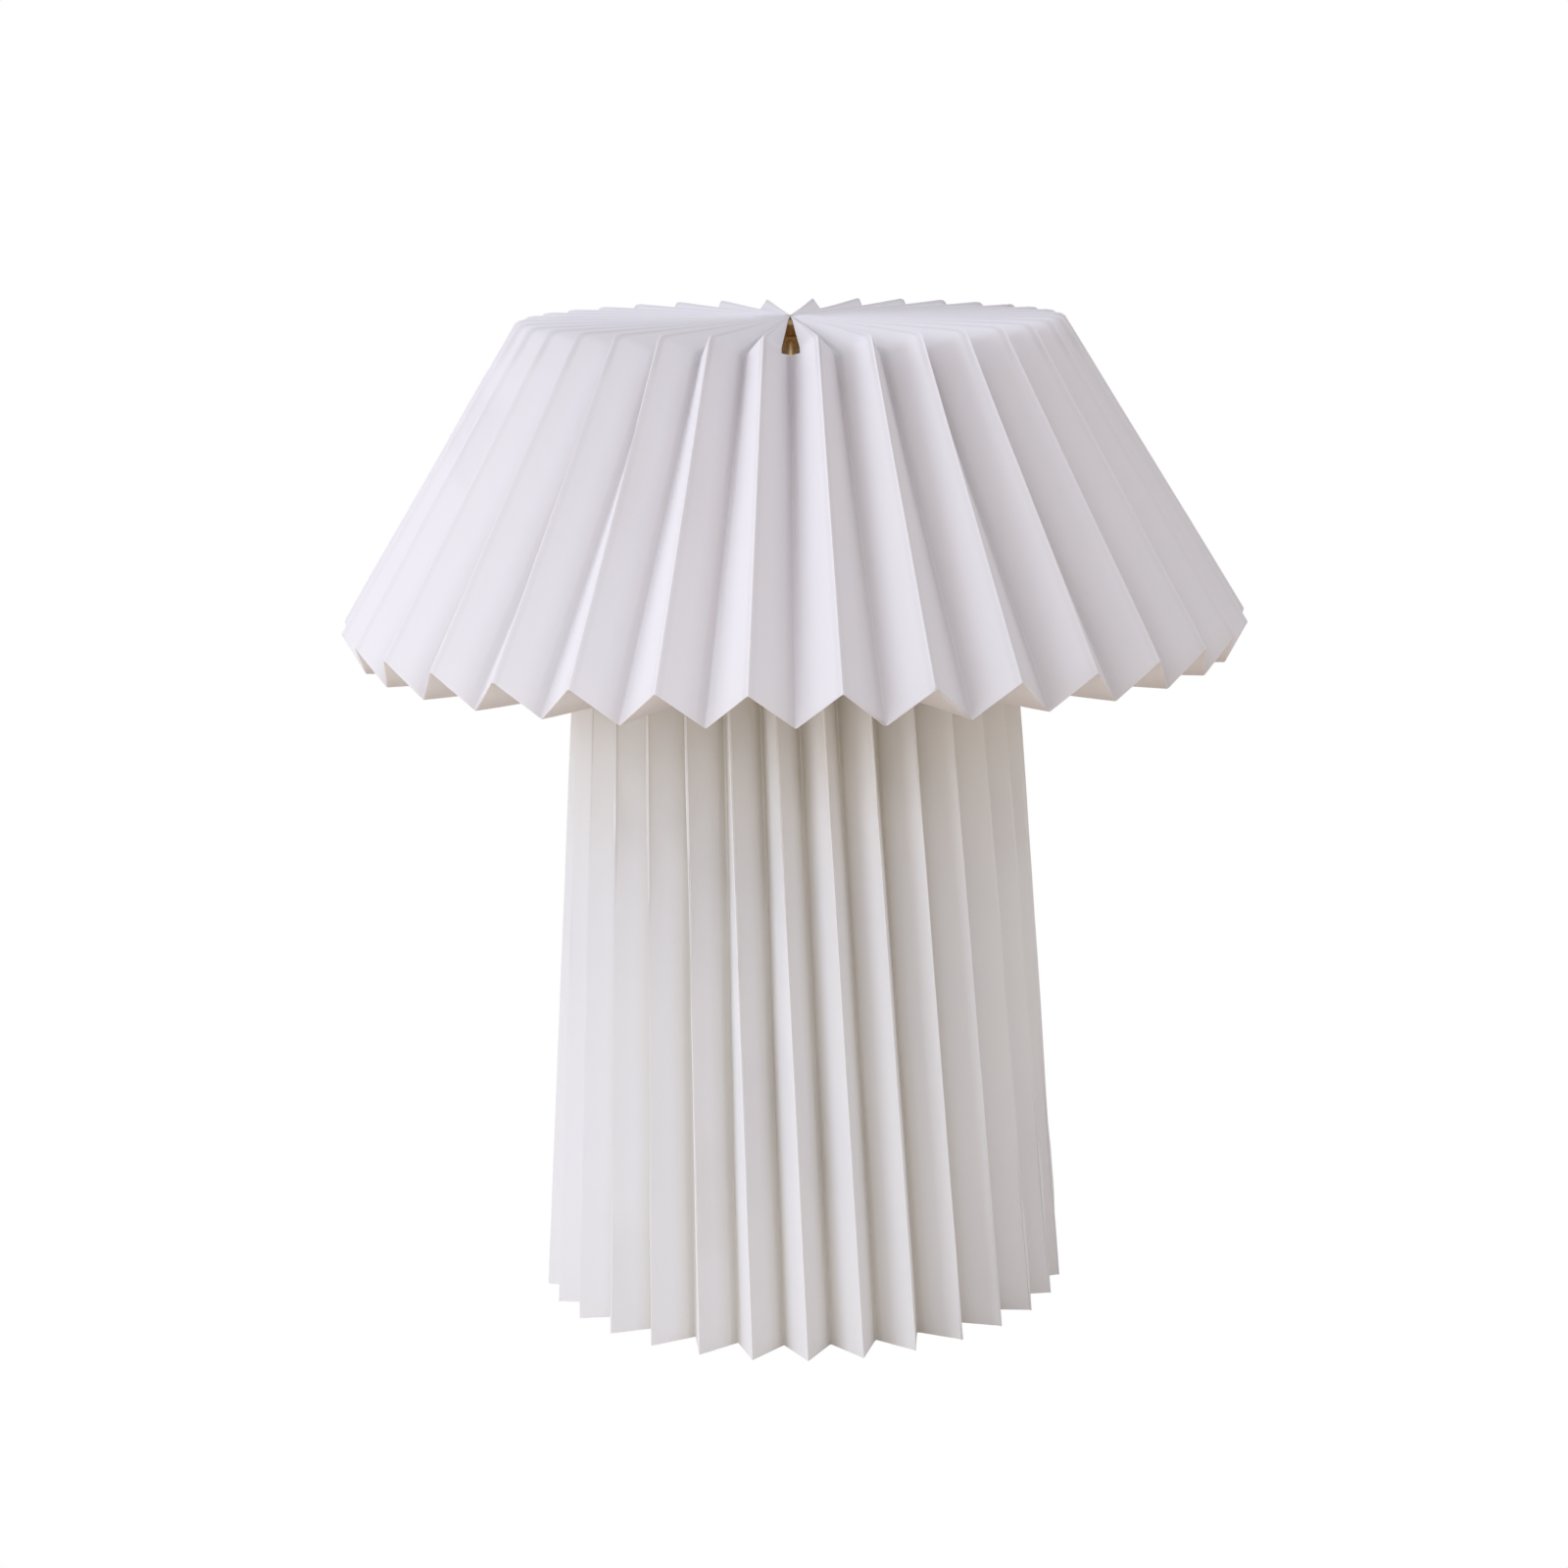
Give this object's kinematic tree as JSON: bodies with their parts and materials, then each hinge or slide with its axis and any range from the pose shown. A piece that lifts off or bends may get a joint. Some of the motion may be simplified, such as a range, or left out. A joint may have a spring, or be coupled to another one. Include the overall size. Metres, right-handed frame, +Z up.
{
  "type": "pleated paper table lamp",
  "caption": "Table lamp with a flared pleated paper shade that rests on a pleated, slightly twisted paper column over a weighted base.",
  "frame": {"origin": "centre of the base, in the plane the feet stand on", "axes": "+Z up along the lamp's axis, -Y towards the front, where the shade has its seam, +X to the right seen from the front"},
  "size_m": [0.36, 0.3584, 0.3935],
  "materials": {
    "paper_shade": "matt, crisply pleated laminated paper",
    "paper_column": "matt, crisply pleated laminated paper",
    "paper_tape": "matt paper tape",
    "card": "matt card",
    "plate": "powder coat",
    "pads": "matt",
    "wire_brass": "brushed plated wire",
    "wire_white": "white coated wire",
    "hub": "turned",
    "saddle": "moulded",
    "zinc": "zinc plated",
    "bushing": "moulded",
    "holder": "moulded",
    "ceramic": "unglazed",
    "contact": "stamped",
    "bulb_metal": "rolled",
    "bulb_black": "moulded",
    "bulb_white": "moulded",
    "bulb_diffuser": "frosted, light off"
  },
  "bodies": {
    "base": {"base_plate": "plate", "foot_pads": "pads", "foot_ring": "wire_brass", "uprights": "wire_brass", "upright_nuts": "zinc", "column_ring": "wire_brass", "support_ring": "wire_brass", "column_paper": "paper_column", "column_seam_strip": "paper_tape", "stem_tube": "zinc", "stem_bottom_nut": "zinc", "stem_washer": "zinc", "stem_plate_nut": "zinc", "stem_holder_nut": "zinc", "inlet_bracket": "zinc", "inlet_screws": "zinc", "inlet_bushing": "bushing", "inlet_nut": "bushing", "holder_cap": "holder", "holder_shell": "holder", "holder_insert": "ceramic", "holder_sleeve": "contact", "holder_sleeve_spacer": "ceramic", "holder_centre_contact": "contact", "holder_terminals": "contact"},
    "shade": {"shade_skirt_paper": "paper_shade", "shade_top_paper": "paper_shade", "shade_seam_strip": "paper_tape", "shade_shoulder_ring": "wire_white", "shade_lower_ring": "wire_white", "shade_arms": "wire_white", "shade_hub": "hub", "shade_saddles": "saddle", "shade_centre_disc": "card"},
    "bulb": {"bulb_tip": "bulb_metal", "bulb_insulator": "bulb_black", "bulb_cap": "bulb_metal", "bulb_housing": "bulb_white", "bulb_board": "bulb_white", "bulb_globe": "bulb_diffuser"}
  },
  "joints": [
    {"name": "shade_lift", "type": "slide", "parent": "base", "child": "shade", "axis": [0, 0, 1], "range_m": [0, 0.15]},
    {"name": "bulb_out", "type": "slide", "parent": "base", "child": "bulb", "axis": [0, 0, 1], "range_m": [0, 0.026]}
  ]
}
